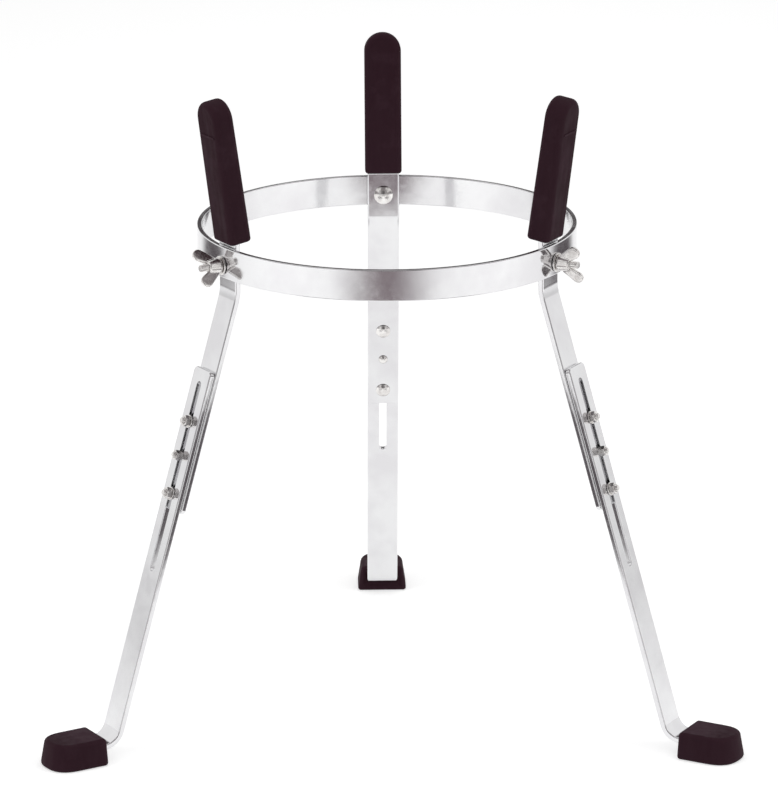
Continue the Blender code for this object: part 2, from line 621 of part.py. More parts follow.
def build():
    clear_scene()
    chrome = material("chrome_plated_steel", (0.80, 0.81, 0.82), 0.12, 1.0)
    zinc = material("zinc_plated_steel", (0.70, 0.70, 0.68), 0.28, 1.0)
    rubber = material("black_rubber", (0.022, 0.018, 0.019), 0.55, 0.0)
    centre = bpy.data.objects.new("ring_axis", None)
    bpy.context.scene.collection.objects.link(centre)
    centre.location = (0.0, ring_centre_y(), 0.0)
    drum_ring(chrome, centre)
    for side, azimuth in LEG_AZIMUTHS.items():
        leg = bpy.data.objects.new(f"{side}_leg_frame", None)
        bpy.context.scene.collection.objects.link(leg)
        leg.parent = centre
        leg.rotation_euler = (0.0, 0.0, math.radians(azimuth))
        upper_leg(side, chrome, leg)
        upright_sleeve(side, rubber, leg)
        ring_fasteners(side, zinc, leg)
        lower_leg(side, chrome, leg)
        clamp_fasteners(side, zinc, leg)
        rubber_foot(side, rubber, leg)


build()
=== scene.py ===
import json
import math
import bmesh
import bpy
from mathutils import Matrix, Vector


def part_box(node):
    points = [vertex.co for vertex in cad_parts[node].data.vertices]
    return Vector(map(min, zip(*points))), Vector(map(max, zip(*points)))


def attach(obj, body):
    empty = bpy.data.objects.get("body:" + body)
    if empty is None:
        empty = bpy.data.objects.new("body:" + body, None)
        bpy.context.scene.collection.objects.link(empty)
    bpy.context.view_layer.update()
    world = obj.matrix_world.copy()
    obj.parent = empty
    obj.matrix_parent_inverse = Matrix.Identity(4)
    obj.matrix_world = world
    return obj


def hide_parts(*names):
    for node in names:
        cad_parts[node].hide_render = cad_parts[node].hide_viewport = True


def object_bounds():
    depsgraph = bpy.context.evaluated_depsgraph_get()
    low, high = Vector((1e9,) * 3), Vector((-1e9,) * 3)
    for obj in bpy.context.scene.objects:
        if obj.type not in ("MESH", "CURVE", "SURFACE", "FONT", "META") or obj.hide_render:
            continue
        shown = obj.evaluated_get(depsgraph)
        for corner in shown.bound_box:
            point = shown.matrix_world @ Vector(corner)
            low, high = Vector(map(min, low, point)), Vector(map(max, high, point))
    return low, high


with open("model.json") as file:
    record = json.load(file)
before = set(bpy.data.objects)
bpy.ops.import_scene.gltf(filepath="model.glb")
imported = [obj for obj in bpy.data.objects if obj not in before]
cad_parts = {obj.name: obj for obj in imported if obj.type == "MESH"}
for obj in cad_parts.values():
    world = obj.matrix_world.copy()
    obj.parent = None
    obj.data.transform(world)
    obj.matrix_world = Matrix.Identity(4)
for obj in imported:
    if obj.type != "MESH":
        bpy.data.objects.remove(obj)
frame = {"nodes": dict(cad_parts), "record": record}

# Conga basket stand: chrome-plated flat bar, moulded rubber sleeves and feet, zinc-plated fixings.
# Lengths are metres, unless a name ends in Mm, and angles are degrees, unless math.radians is beside them.

cadLow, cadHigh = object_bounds()
ringLow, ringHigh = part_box("drum_ring")
ringCentre = Vector(((ringLow.x + ringHigh.x) / 2, (ringLow.y + ringHigh.y) / 2, 0.0))
legTurns = {"rear": 90.0, "left": 210.0, "right": 330.0}   # round the ring's axis
gap = 0.0003     # between touching pieces
nearly = 1e-5    # closer than this is the same place
print("frame loaded,", len(frame["nodes"]), "nodes")


# Materials

def toLinear(code):
    channels = [int(code[i:i + 2], 16) / 255 for i in (1, 3, 5)]
    return [c / 12.92 if c <= 0.04045 else ((c + 0.055) / 1.055) ** 2.4 for c in channels] + [1.0]


def patternScale(sizeMm):
    return 1000 / sizeMm


def setNode(tree, node, settings=None, links=None):
    for name, value in (settings or {}).items():
        if name == "stops":   # places and colours along a ramp
            for mark, (place, colour) in zip(node.color_ramp.elements, value):
                mark.position = place
                mark.color = toLinear(colour)
        elif isinstance(name, int) or name in node.inputs:
            node.inputs[name].default_value = value
        else:
            setattr(node, name, value)
    for name, source in (links or {}).items():
        tree.links.new(source, node.inputs[name])
    return node


def addNode(tree, kind, settings=None, links=None):
    return setNode(tree, tree.nodes.new(kind), settings, links)


def newMaterial(name):
    made = bpy.data.materials.new(name)
    made.use_nodes = True
    return made, made.node_tree, made.node_tree.nodes["Principled BSDF"]


chromeLook = {
    "colours": [(0.36, "#DBDADC"), (0.62, "#E4E4E5")],   # faint haze on nickel-chrome, a white metal
    "hazeMm": 38.0,
    "roughness": (0.06, 0.16),
    "waveMm": 14.0,           # slow waviness of rolled bar under the plating
    "waveBump": {"Strength": 0.10, "Distance": 0.0006},
    "wipeMm": 0.9,            # wiping marks
    "wipeCoarser": 6.0,       # drawn this many times larger, or they would be too fine to show
    "wipeBump": {"Strength": 0.05, "Distance": 0.00005},
}


def chromePlatedSteel():
    # Rolled bar, polished and electroplated: mirror-like, with soft waves, faint haze and fine wiping marks
    made, tree, shader = newMaterial("chromePlatedSteel")
    look = chromeLook
    place = addNode(tree, "ShaderNodeTexCoord").outputs["Object"]
    haze = addNode(tree, "ShaderNodeTexNoise",
                   {"Scale": patternScale(look["hazeMm"]), "Detail": 3.0, "Roughness": 0.55},
                   {"Vector": place})
    wipe = addNode(tree, "ShaderNodeTexNoise",
                   {"Scale": patternScale(look["wipeMm"]) / look["wipeCoarser"], "Detail": 5.0,
                    "Roughness": 0.7, "Distortion": 0.4},
                   {"Vector": place})
    wave = addNode(tree, "ShaderNodeTexNoise", {"Scale": patternScale(look["waveMm"]), "Detail": 1.0},
                   {"Vector": place})
    colour = addNode(tree, "ShaderNodeValToRGB", {"stops": look["colours"]}, {"Fac": haze.outputs["Fac"]})
    both = addNode(tree, "ShaderNodeMath", {"operation": "MULTIPLY"},
                   {0: haze.outputs["Fac"], 1: wipe.outputs["Fac"]})
    low, high = look["roughness"]
    gloss = addNode(tree, "ShaderNodeMapRange",
                    {"From Min": 0.12, "From Max": 0.42, "To Min": low, "To Max": high},
                    {"Value": both.outputs["Value"]})
    waveBump = addNode(tree, "ShaderNodeBump", look["waveBump"], {"Height": wave.outputs["Fac"]})
    wipeBump = addNode(tree, "ShaderNodeBump", look["wipeBump"],
                       {"Height": wipe.outputs["Fac"], "Normal": waveBump.outputs["Normal"]})
    setNode(tree, shader, {"Metallic": 1.0},
            {"Base Color": colour.outputs["Color"], "Roughness": gloss.outputs["Result"],
             "Normal": wipeBump.outputs["Normal"]})
    return made


zincLook = {
    "colours": [(0.34, "#D2CECC"), (0.60, "#EEECEA")],   # clear-passivated zinc, warmer than the chrome
    "stainMm": 9.0,
    "roughness": (0.16, 0.28),
    "spangleMm": 2.2,
    "spangleBump": {"Strength": 0.05, "Distance": 0.00008},
}


def zincPlatedSteel():
    # Cold-headed and stamped fixings in bright zinc: soft shine, cloudy patches and small handling marks
    made, tree, shader = newMaterial("zincPlatedSteel")
    look = zincLook
    place = addNode(tree, "ShaderNodeTexCoord").outputs["Object"]
    stain = addNode(tree, "ShaderNodeTexNoise",
                    {"Scale": patternScale(look["stainMm"]), "Detail": 4.0, "Roughness": 0.6},
                    {"Vector": place})
    spangle = addNode(tree, "ShaderNodeTexNoise", {"Scale": patternScale(look["spangleMm"]), "Detail": 2.0},
                      {"Vector": place})
    colour = addNode(tree, "ShaderNodeValToRGB", {"stops": look["colours"]}, {"Fac": stain.outputs["Fac"]})
    low, high = look["roughness"]
    gloss = addNode(tree, "ShaderNodeMapRange",
                    {"From Min": 0.3, "From Max": 0.7, "To Min": high, "To Max": low},
                    {"Value": spangle.outputs["Fac"]})
    bump = addNode(tree, "ShaderNodeBump", look["spangleBump"], {"Height": spangle.outputs["Fac"]})
    setNode(tree, shader, {"Metallic": 1.0},
            {"Base Color": colour.outputs["Color"], "Roughness": gloss.outputs["Result"],
             "Normal": bump.outputs["Normal"]})
    return made


rubberLook = {
    "colours": [(0.0, "#29141C"), (1.0, "#432F38")],   # carbon black with a maroon cast, to worn
    "rubbedEdge": 0.55,       # how worn the sharpest edges look
    "bloomPatch": 0.45,       # and the cloudiest patches
    "patchMm": 22.0,
    "roughness": (0.62, 0.80),
    "specular": 0.10,
    "flowMm": 5.0,            # drag marks from the mould, drawn out along the piece
    "flowStretch": 0.12,
    "flowBump": {"Strength": 0.12, "Distance": 0.0003},
    "grainMm": 0.7,
    "grainBump": {"Strength": 0.30, "Distance": 0.00010},
}


def mouldedRubber():
    # Compression-moulded black rubber: fine mould grain, cloudy bloom and rubbed, slightly paler edges
    made, tree, shader = newMaterial("mouldedRubber")
    look = rubberLook
    place = addNode(tree, "ShaderNodeTexCoord").outputs["Object"]
    patch = addNode(tree, "ShaderNodeTexNoise",
                    {"Scale": patternScale(look["patchMm"]), "Detail": 4.0, "Roughness": 0.6},
                    {"Vector": place})
    grain = addNode(tree, "ShaderNodeTexNoise",
                    {"Scale": patternScale(look["grainMm"]), "Detail": 3.0, "Roughness": 0.6},
                    {"Vector": place})
    stretch = addNode(tree, "ShaderNodeMapping", {"Scale": (1.0, 1.0, look["flowStretch"])},
                      {"Vector": place})
    flow = addNode(tree, "ShaderNodeTexNoise", {"Scale": patternScale(look["flowMm"]), "Detail": 2.0},
                   {"Vector": stretch.outputs["Vector"]})
    edge = addNode(tree, "ShaderNodeNewGeometry")
    rub = addNode(tree, "ShaderNodeMapRange",
                  {"From Min": 0.50, "From Max": 0.58, "To Min": 0.0, "To Max": look["rubbedEdge"]},
                  {"Value": edge.outputs["Pointiness"]})
    bloom = addNode(tree, "ShaderNodeMapRange",
                    {"From Min": 0.42, "From Max": 0.75, "To Min": 0.0, "To Max": look["bloomPatch"]},
                    {"Value": patch.outputs["Fac"]})
    wear = addNode(tree, "ShaderNodeMath", {"operation": "MAXIMUM"},
                   {0: rub.outputs["Result"], 1: bloom.outputs["Result"]})
    colour = addNode(tree, "ShaderNodeValToRGB", {"stops": look["colours"]}, {"Fac": wear.outputs["Value"]})
    low, high = look["roughness"]
    gloss = addNode(tree, "ShaderNodeMapRange",
                    {"From Min": 0.3, "From Max": 0.7, "To Min": low, "To Max": high},
                    {"Value": flow.outputs["Fac"]})
    flowBump = addNode(tree, "ShaderNodeBump", look["flowBump"], {"Height": flow.outputs["Fac"]})
    grainBump = addNode(tree, "ShaderNodeBump", look["grainBump"],
                        {"Height": grain.outputs["Fac"], "Normal": flowBump.outputs["Normal"]})
    setNode(tree, shader, {"IOR": 1.52, "Specular IOR Level": look["specular"]},
            {"Base Color": colour.outputs["Color"], "Roughness": gloss.outputs["Result"],
             "Normal": grainBump.outputs["Normal"]})
    return made


finishOf = {"chrome_steel": chromePlatedSteel(), "zinc_hardware": zincPlatedSteel(),
            "black_rubber": mouldedRubber()}
for part in frame["record"]["subparts"]:   # so a CAD node wears its finish wherever no piece replaces it
    node = frame["nodes"][part["node"]]
    node.data.materials.clear()
    node.data.materials.append(finishOf[part["material_slot"]])
print("materials made")


# Modelling helpers

creaseAngle = {"plain": 32.0, "rubber": 40.0, "bolt": 45.0, "wingNut": 50.0}   # sharper edges stay sharp


def meshFrom(name, bm):
    mesh = bpy.data.meshes.new(name)
    bm.to_mesh(mesh)
    bm.free()
    return mesh


def linkNew(name, data):
    made = bpy.data.objects.new(name, data)
    bpy.context.scene.collection.objects.link(made)
    return made


def addPiece(name, bm, slotName, body, stands, crease="plain"):
    # The finished piece lies at the origin with its place in its mesh
    mesh = meshFrom(name, bm)
    mesh.materials.append(finishOf[slotName])
    mesh.shade_smooth()
    mesh.set_sharp_from_angle(angle=math.radians(creaseAngle[crease]))
    piece = linkNew(name, mesh)
    even = piece.modifiers.new("evenNormals", "WEIGHTED_NORMAL")
    even.keep_sharp = True
    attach(piece, body)
    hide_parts(*stands)


def finishedForm(blank):
    # What a short-lived object's modifiers make of it
    form = bmesh.new()
    form.from_object(blank, bpy.context.evaluated_depsgraph_get())
    bpy.data.objects.remove(blank, do_unlink=True)
    return form


def mixMeshes(base, tool, operation):
    blank, cutter = [linkNew("blank", meshFrom("blank", bm)) for bm in (base, tool)]
    step = blank.modifiers.new("step", "BOOLEAN")
    step.operation = operation
    step.solver = "EXACT"
    step.object = cutter
    result = finishedForm(blank)
    bpy.data.objects.remove(cutter, do_unlink=True)
    return result


def tidyNormals(bm):
    bmesh.ops.remove_doubles(bm, verts=bm.verts, dist=0.000002)
    bmesh.ops.recalc_face_normals(bm, faces=bm.faces)


def spunForm(profile, steps):
    # Turned solid about Z from (radius, height) points. A profile that stays off the axis becomes a tube
    bm = bmesh.new()
    verts = [bm.verts.new((radius, 0.0, height)) for radius, height in profile]
    edges = [bm.edges.new(pair) for pair in zip(verts, verts[1:])]
    if profile[0][0] > 0:
        edges.append(bm.edges.new((verts[-1], verts[0])))
    bmesh.ops.spin(bm, geom=verts + edges, cent=(0, 0, 0), axis=(0, 0, 1), angle=math.tau, steps=steps,
                   use_merge=True)
    tidyNormals(bm)
    return bm


def arcPoints(centre, radius, start, end, steps):
    turns = [math.radians(start + (end - start) * i / steps) for i in range(steps + 1)]
    return [(centre[0] + radius * math.cos(t), centre[1] + radius * math.sin(t)) for t in turns]


def roundedOutline(x0, x1, y0, y1, radius, steps=6):
    points = arcPoints((x1 - radius, y0 + radius), radius, -90, 0, steps)
    points += arcPoints((x1 - radius, y1 - radius), radius, 0, 90, steps)
    points += arcPoints((x0 + radius, y1 - radius), radius, 90, 180, steps)
    points += arcPoints((x0 + radius, y0 + radius), radius, 180, 270, steps)
    return points


def raisedPlate(points, low, high):
    bm = bmesh.new()
    base = bm.faces.new([bm.verts.new((x, y, low)) for x, y in points])
    grown = bmesh.ops.extrude_face_region(bm, geom=[base])
    tops = [item for item in grown["geom"] if isinstance(item, bmesh.types.BMVert)]
    bmesh.ops.translate(bm, verts=tops, vec=(0.0, 0.0, high - low))
    bmesh.ops.recalc_face_normals(bm, faces=bm.faces)
    return bm


def roundDrill(diameter, sides, low, high):
    bm = bmesh.new()
    bmesh.ops.create_cone(bm, cap_ends=True, cap_tris=False, segments=sides, radius1=diameter / 2,
                          radius2=diameter / 2, depth=high - low)
    bmesh.ops.translate(bm, verts=bm.verts, vec=(0.0, 0.0, (low + high) / 2))
    return bm


def roundEdges(bm, edges, width, segments):
    bmesh.ops.bevel(bm, geom=edges, offset=width, offset_type="OFFSET", segments=segments, profile=0.5,
                    affect="EDGES", clamp_overlap=True, material=-1)


def edgesWhere(bm, test):
    return [e for e in bm.edges if all(test(v.co) for v in e.verts)]


def isLevel(edge):
    return abs(edge.verts[0].co.z - edge.verts[1].co.z) < nearly / 10


def legPlace(side):
    return Matrix.Translation(ringCentre) @ Matrix.Rotation(math.radians(legTurns[side]), 4, "Z")


# Drum ring

drumRing = {
    "wall": 0.0042,
    "edgeRound": 0.0008,
    "edgeSteps": 5,
    "turnSteps": 216,
    "hole": 0.0066,
    "holeSides": 36,
    "holeBelowTop": 0.0152,
    "drillPast": 0.005,
}
ringOuter = (ringHigh.x - ringLow.x) / 2
ringInner = ringOuter - drumRing["wall"]
boltHeight = ringHigh.z - drumRing["holeBelowTop"]


def makeDrumRing():
    profile = roundedOutline(ringInner, ringOuter, ringLow.z, ringHigh.z, drumRing["edgeRound"],
                             drumRing["edgeSteps"])
    bm = spunForm(profile, drumRing["turnSteps"])
    for turn in legTurns.values():
        drill = roundDrill(drumRing["hole"], drumRing["holeSides"], ringInner - drumRing["drillPast"],
                           ringOuter + drumRing["drillPast"])
        drill.transform(Matrix.Rotation(math.radians(turn), 4, "Z")
                        @ Matrix.Translation((0.0, 0.0, boltHeight))
                        @ Matrix.Rotation(math.pi / 2, 4, "Y"))
        bm = mixMeshes(bm, drill, "DIFFERENCE")
    bm.transform(Matrix.Translation(ringCentre))
    addPiece("drumRing", bm, "chrome_steel", "ring_and_uprights", ["drum_ring"])


makeDrumRing()
print("drum ring made")


# Legs: flat bars, punched straight and then bent

flatBar = {
    "width": 0.026,
    "thickness": 0.0048,
    "edgeRound": 0.0012,
    "edgeSteps": 4,
    "cornerRound": 0.004,
    "bendRadius": 0.020,
    "softBend": 0.040,        # the seen bend below the ring eases in and out more softly
    "bendSteps": 14,
    "holeSides": 28,
    "holeCornerShare": 0.1,   # of a square hole's width
    "holeEdgeRound": 0.0004,
    "holeEdgeSteps": 2,
    "slotEndSteps": 14,
    "clearOfRim": 0.001,      # what the holes keep from the bar's rounded rim and ends
    "clearOfEnds": 0.002,
}
upright = {
    "lean": math.radians(7.7),
    "length": 0.1068,
    "seatAboveBolt": 0.0165,
    "seatBelowBolt": 0.021,
    "endBelowClamp": 0.0138,
}
legLine = {
    "splay": math.radians(17.2),
    "boltToClamp": 0.1305,
    "clampSpacing": 0.0595,
    "stopShare": 0.475,       # of the clamp spacing
    "topAboveClamp": 0.0435,
    "slotTopMargin": 0.0105,
    "slotLength": 0.157,
    "slotWidth": 0.0064,
    "toeRadius": 0.015,
    "toeHeight": 0.0125,
    "toeLength": 0.036,
}
fixingSize = {"ringBolt": 0.006, "clampBolt": 0.005, "stopScrew": 0.004, "play": 0.0006}

# The bar's corners meet the ring first
barFace = math.sqrt(ringInner ** 2 - (flatBar["width"] / 2) ** 2) - gap
barCentre = barFace - flatBar["thickness"] / 2
barSpacing = flatBar["thickness"] + gap
clampAt = {
    "upper": legLine["boltToClamp"],
    "stop": legLine["boltToClamp"] + legLine["clampSpacing"] * legLine["stopShare"],
    "lower": legLine["boltToClamp"] + legLine["clampSpacing"],
}


def downLeg(distance, outward=0.0):
    # A point on the straight of the leg, by distance along the bar from the ring bolt
    splay = legLine["splay"]
    radius = flatBar["bendRadius"]
    straight = distance - upright["seatBelowBolt"] - splay * radius
    x = barCentre + radius * (1 - math.cos(splay)) + straight * math.sin(splay)
    z = boltHeight - upright["seatBelowBolt"] - radius * math.sin(splay) - straight * math.cos(splay)
    return Vector((x + outward * math.cos(splay), 0.0, z + outward * math.sin(splay)))


def holeTool(size, place, square=False):
    half, reach = size / 2, flatBar["thickness"]
    if square:
        outline = roundedOutline(-half, half, -half, half, size * flatBar["holeCornerShare"], 2)
        tool = raisedPlate(outline, -reach, reach)
    else:
        tool = roundDrill(size, flatBar["holeSides"], -reach, reach)
    bmesh.ops.translate(tool, verts=tool.verts, vec=(place, 0.0, 0.0))
    return tool


def punchedStrip(length, tools):
    half = flatBar["width"] / 2
    strip = raisedPlate(roundedOutline(0.0, length, -half, half, flatBar["cornerRound"]),
                        -flatBar["thickness"] / 2, flatBar["thickness"] / 2)
    roundEdges(strip, [e for e in strip.edges if isLevel(e)], flatBar["edgeRound"], flatBar["edgeSteps"])
    for tool in tools:
        strip = mixMeshes(strip, tool, "DIFFERENCE")
    rim = half - flatBar["edgeRound"] - flatBar["clearOfRim"]
    ends = flatBar["cornerRound"] + flatBar["clearOfEnds"]
    holes = edgesWhere(strip, lambda co: abs(co.y) < rim and ends < co.x < length - ends)
    roundEdges(strip, [e for e in holes if isLevel(e)], flatBar["holeEdgeRound"], flatBar["holeEdgeSteps"])
    return strip


def bendStrip(strip, start, heading, bends):
    # Bends are (distance along the strip, turn, radius), and a turn above zero goes outward
    steps = flatBar["bendSteps"]
    for distance, turn, radius in bends:
        for i in range(steps + 1):
            cut = distance + abs(turn) * radius * i / steps
            bmesh.ops.bisect_plane(strip, geom=strip.verts[:] + strip.edges[:] + strip.faces[:],
                                   plane_co=(cut, 0, 0), plane_no=(1, 0, 0), dist=1e-7)

    def pathAt(distance):
        point, angle, done = Vector((start.x, start.z)), heading, 0.0
        for begin, turn, radius in bends:
            point = point + (min(distance, begin) - done) * Vector((math.sin(angle), -math.cos(angle)))
            done = min(distance, begin)
            if distance <= begin:
                return point, angle
            along = min(distance - begin, abs(turn) * radius)
            side = math.copysign(1.0, turn)
            centre = point + side * radius * Vector((math.cos(angle), math.sin(angle)))
            angle += side * along / radius
            point = centre - side * radius * Vector((math.cos(angle), math.sin(angle)))
            done += along
        return point + (distance - done) * Vector((math.sin(angle), -math.cos(angle))), angle

    for vert in strip.verts:
        point, angle = pathAt(vert.co.x)
        spot = point + vert.co.z * Vector((math.cos(angle), math.sin(angle)))
        vert.co = (spot.x, vert.co.y, spot.y)


def uprightBend():
    # Where the upright starts to lean, above the seat on the ring
    lean, radius = upright["lean"], flatBar["bendRadius"]
    return Vector((barCentre + radius * (1 - math.cos(lean)), 0.0,
                   boltHeight + upright["seatAboveBolt"] + radius * math.sin(lean)))


def makeUpperLeg(side):
    lean, radius = upright["lean"], flatBar["bendRadius"]
    bolt = upright["length"] + lean * radius + upright["seatAboveBolt"]
    play = fixingSize["play"]
    tools = [holeTool(fixingSize["ringBolt"] + play, bolt, square=True),
             holeTool(fixingSize["clampBolt"] + play, bolt + clampAt["upper"], square=True),
             holeTool(fixingSize["clampBolt"] + play, bolt + clampAt["lower"], square=True),
             holeTool(fixingSize["stopScrew"] + play, bolt + clampAt["stop"])]
    strip = punchedStrip(bolt + clampAt["lower"] + upright["endBelowClamp"], tools)
    top = uprightBend() + upright["length"] * Vector((math.sin(lean), 0.0, math.cos(lean)))
    soft = flatBar["softBend"]
    early = (soft - radius) * math.tan(legLine["splay"] / 2)
    bendStrip(strip, top, -lean, [(upright["length"], lean, radius),
                                  (bolt + upright["seatBelowBolt"] - early, legLine["splay"], soft)])
    strip.transform(legPlace(side))
    addPiece(f"{side}UpperLeg", strip, "chrome_steel", "ring_and_uprights", [f"{side}_upper_leg"])


def toeBend():
    # Distance from the ring bolt at which the toe's bend starts, so that the toe lies level
    drop = legLine["toeRadius"] * (1 - math.sin(legLine["splay"]))
    return (downLeg(0.0, barSpacing).z - legLine["toeHeight"] - drop) / math.cos(legLine["splay"])


def makeLowerLeg(side):
    top = clampAt["upper"] - legLine["topAboveClamp"]
    bendAt = toeBend() - top
    turn = math.pi / 2 - legLine["splay"]
    length = bendAt + turn * legLine["toeRadius"] + legLine["toeLength"]
    half = legLine["slotWidth"] / 2
    first = legLine["slotTopMargin"] + half
    last = legLine["slotTopMargin"] + legLine["slotLength"] - half
    slot = (arcPoints((last, 0.0), half, -90, 90, flatBar["slotEndSteps"])
            + arcPoints((first, 0.0), half, 90, 270, flatBar["slotEndSteps"]))
    strip = punchedStrip(length, [raisedPlate(slot, -flatBar["thickness"], flatBar["thickness"])])
    bendStrip(strip, downLeg(top, barSpacing), legLine["splay"], [(bendAt, turn, legLine["toeRadius"])])
    strip.transform(legPlace(side))
    addPiece(f"{side}LowerLeg", strip, "chrome_steel", f"{side}_sliding_leg", [f"{side}_lower_leg"])


for side in legTurns:
    makeUpperLeg(side)
    makeLowerLeg(side)
print("legs made")


# Rubber sleeves

sleeve = {
    "width": 0.0302,
    "outerWall": 0.0045,
    "innerWallLow": 0.0105,
    "innerWallTop": 0.0085,
    "aboveBar": 0.009,
    "aboveRing": 0.0035,
    "topSteps": 28,
    "edgeRound": 0.0045,
    "edgeSteps": 7,
    "lowerEdgeRound": 0.0024,
    "lowerEdgeSteps": 4,
    "pocketPast": 0.02,
}
sleeveRib = {   # moulded across the outer face
    "belowTop": 0.0265,
    "height": 0.0018,
    "width": 0.0215,
    "proud": 0.0006,
    "sunk": 0.001,
    "endShare": 0.49,         # of its height
    "endSteps": 4,
    "edgeShare": 0.7,         # of how far it stands proud
    "edgeSteps": 2,
}


def makeSleeve(side):
    # Drawn in its upright's own frame, x across, y up the bar and z outward, and then stood up
    lean = upright["lean"]
    low = (ringHigh.z + sleeve["aboveRing"] - uprightBend().z) / math.cos(lean)
    high = upright["length"] + sleeve["aboveBar"]
    half = sleeve["width"] / 2
    outer = flatBar["thickness"] / 2 + sleeve["outerWall"]
    inner = -flatBar["thickness"] / 2 - sleeve["innerWallLow"]
    outline = [(-half, low), (half, low)] + arcPoints((0.0, high - half), half, 0, 180, sleeve["topSteps"])
    bm = raisedPlate(outline, inner, outer)
    upper = [e for e in bm.edges if isLevel(e) and max(v.co.y for v in e.verts) > low + nearly]
    roundEdges(bm, upper, sleeve["edgeRound"], sleeve["edgeSteps"])
    lower = edgesWhere(bm, lambda co: abs(co.y - low) < nearly)
    roundEdges(bm, lower, sleeve["lowerEdgeRound"], sleeve["lowerEdgeSteps"])
    for vert in bm.verts:   # the inner wall thins towards the top
        if vert.co.z < 0:
            share = (vert.co.y - low) / (high - low)
            vert.co.z += (sleeve["innerWallLow"] - sleeve["innerWallTop"]) * share * (vert.co.z / inner)

    pocketHalf = flatBar["width"] / 2 + gap
    pocket = raisedPlate(roundedOutline(-pocketHalf, pocketHalf, low - sleeve["pocketPast"],
                                        upright["length"] + gap, flatBar["cornerRound"]),
                         -flatBar["thickness"] / 2 - gap, flatBar["thickness"] / 2 + gap)
    bm = mixMeshes(bm, pocket, "DIFFERENCE")

    ribHalf, ribTop = sleeveRib["width"] / 2, high - sleeveRib["belowTop"]
    rib = raisedPlate(roundedOutline(-ribHalf, ribHalf, ribTop - sleeveRib["height"], ribTop,
                                     sleeveRib["height"] * sleeveRib["endShare"], sleeveRib["endSteps"]),
                      outer - sleeveRib["sunk"], outer + sleeveRib["proud"])
    roundEdges(rib, edgesWhere(rib, lambda co: co.z > outer), sleeveRib["proud"] * sleeveRib["edgeShare"],
               sleeveRib["edgeSteps"])
    bm = mixMeshes(bm, rib, "UNION")

    bm.transform(Matrix(((0, 0, 1, 0), (1, 0, 0, 0), (0, 1, 0, 0), (0, 0, 0, 1))))   # z to x, y to z, x to y
    bm.transform(legPlace(side) @ Matrix.Translation(uprightBend()) @ Matrix.Rotation(lean, 4, "Y"))
    addPiece(f"{side}Sleeve", bm, "black_rubber", "ring_and_uprights", [f"{side}_upright_sleeve"], "rubber")


for side in legTurns:
    makeSleeve(side)
print("sleeves made")


# Rubber feet

foot = {
    "length": 0.047,
    "width": 0.0425,
    "topWidth": 0.036,
    "topSetback": 0.0035,
    "height": 0.0215,
    "nose": 0.0215,
    "nosePower": 0.8,         # 1 is a plain ellipse, and less is squarer
    "noseSteps": 22,
    "cornerRound": 0.003,
    "cornerSteps": 5,
    "topRound": 0.0045,
    "topSteps": 6,
    "soleRound": 0.0025,
    "soleSteps": 4,
    "beforeToe": 0.0015,
}


def makeFoot(side):
    toeStart = downLeg(toeBend(), barSpacing).x + legLine["toeRadius"] * math.cos(legLine["splay"])
    start = toeStart + foot["beforeToe"]
    half, nose, power = foot["width"] / 2, foot["nose"], foot["nosePower"]
    outline = [(0.0, -half)]
    for i in range(foot["noseSteps"] + 1):
        angle = -math.pi / 2 + math.pi * i / foot["noseSteps"]
        lift = math.copysign(abs(math.sin(angle)) ** power, math.sin(angle))
        outline.append((foot["length"] - nose + nose * abs(math.cos(angle)) ** power, half * lift))
    outline.append((0.0, half))
    bm = raisedPlate(outline, 0.0, foot["height"])
    for vert in bm.verts:   # the sides draw in towards the top
        share = vert.co.z / foot["height"]
        vert.co.y *= 1 - share * (1 - foot["topWidth"] / foot["width"])
        vert.co.x -= share * foot["topSetback"] * max(0.0, vert.co.x / foot["length"])
    tidyNormals(bm)
    back = [e for e in edgesWhere(bm, lambda co: abs(co.x) < nearly) if not isLevel(e)]
    roundEdges(bm, back, foot["cornerRound"], foot["cornerSteps"])
    top = edgesWhere(bm, lambda co: co.z > foot["height"] - nearly)
    roundEdges(bm, top, foot["topRound"], foot["topSteps"])
    sole = edgesWhere(bm, lambda co: co.z < nearly)
    roundEdges(bm, sole, foot["soleRound"], foot["soleSteps"])

    depth = toeStart + legLine["toeLength"] + gap - start
    wide = flatBar["width"] / 2 + gap
    thick = flatBar["thickness"] / 2 + gap
    pocket = raisedPlate(roundedOutline(-depth, depth, -wide, wide, flatBar["cornerRound"]),
                         legLine["toeHeight"] - thick, legLine["toeHeight"] + thick)
    bm = mixMeshes(bm, pocket, "DIFFERENCE")
    bm.transform(legPlace(side) @ Matrix.Translation((start, 0.0, 0.0)))
    addPiece(f"{side}Foot", bm, "black_rubber", f"{side}_sliding_leg", [f"{side}_foot"], "rubber")


for side in legTurns:
    makeFoot(side)
print("feet made")


# Bolts and screws

ringBolt = {"headDiameter": 0.0155, "headHeight": 0.0034, "pastNut": 0.007, "pitch": 0.001}
clampBolt = {"headDiameter": 0.012, "headHeight": 0.0028, "pastNut": 0.0022, "pitch": 0.0008}
stopScrew = {"headDiameter": 0.0076, "headHeight": 0.0024, "pastNut": 0.0016, "pitch": 0.0007}
boltForm = {
    "sides": 32,
    "rowsPerTurn": 6,
    "threadDepth": 0.5,       # of the pitch
    "endChamfer": 0.6,        # of the pitch
    "headRim": 0.12,          # of the head's height
    "headSteps": 10,
    "neckLength": 0.0032,
    "neckCorner": 1.36,       # of the shank's radius
    "neckSlope": 0.0003,
    "plainBelowNeck": 0.001,
    "plainBelowHead": 0.0008,
}


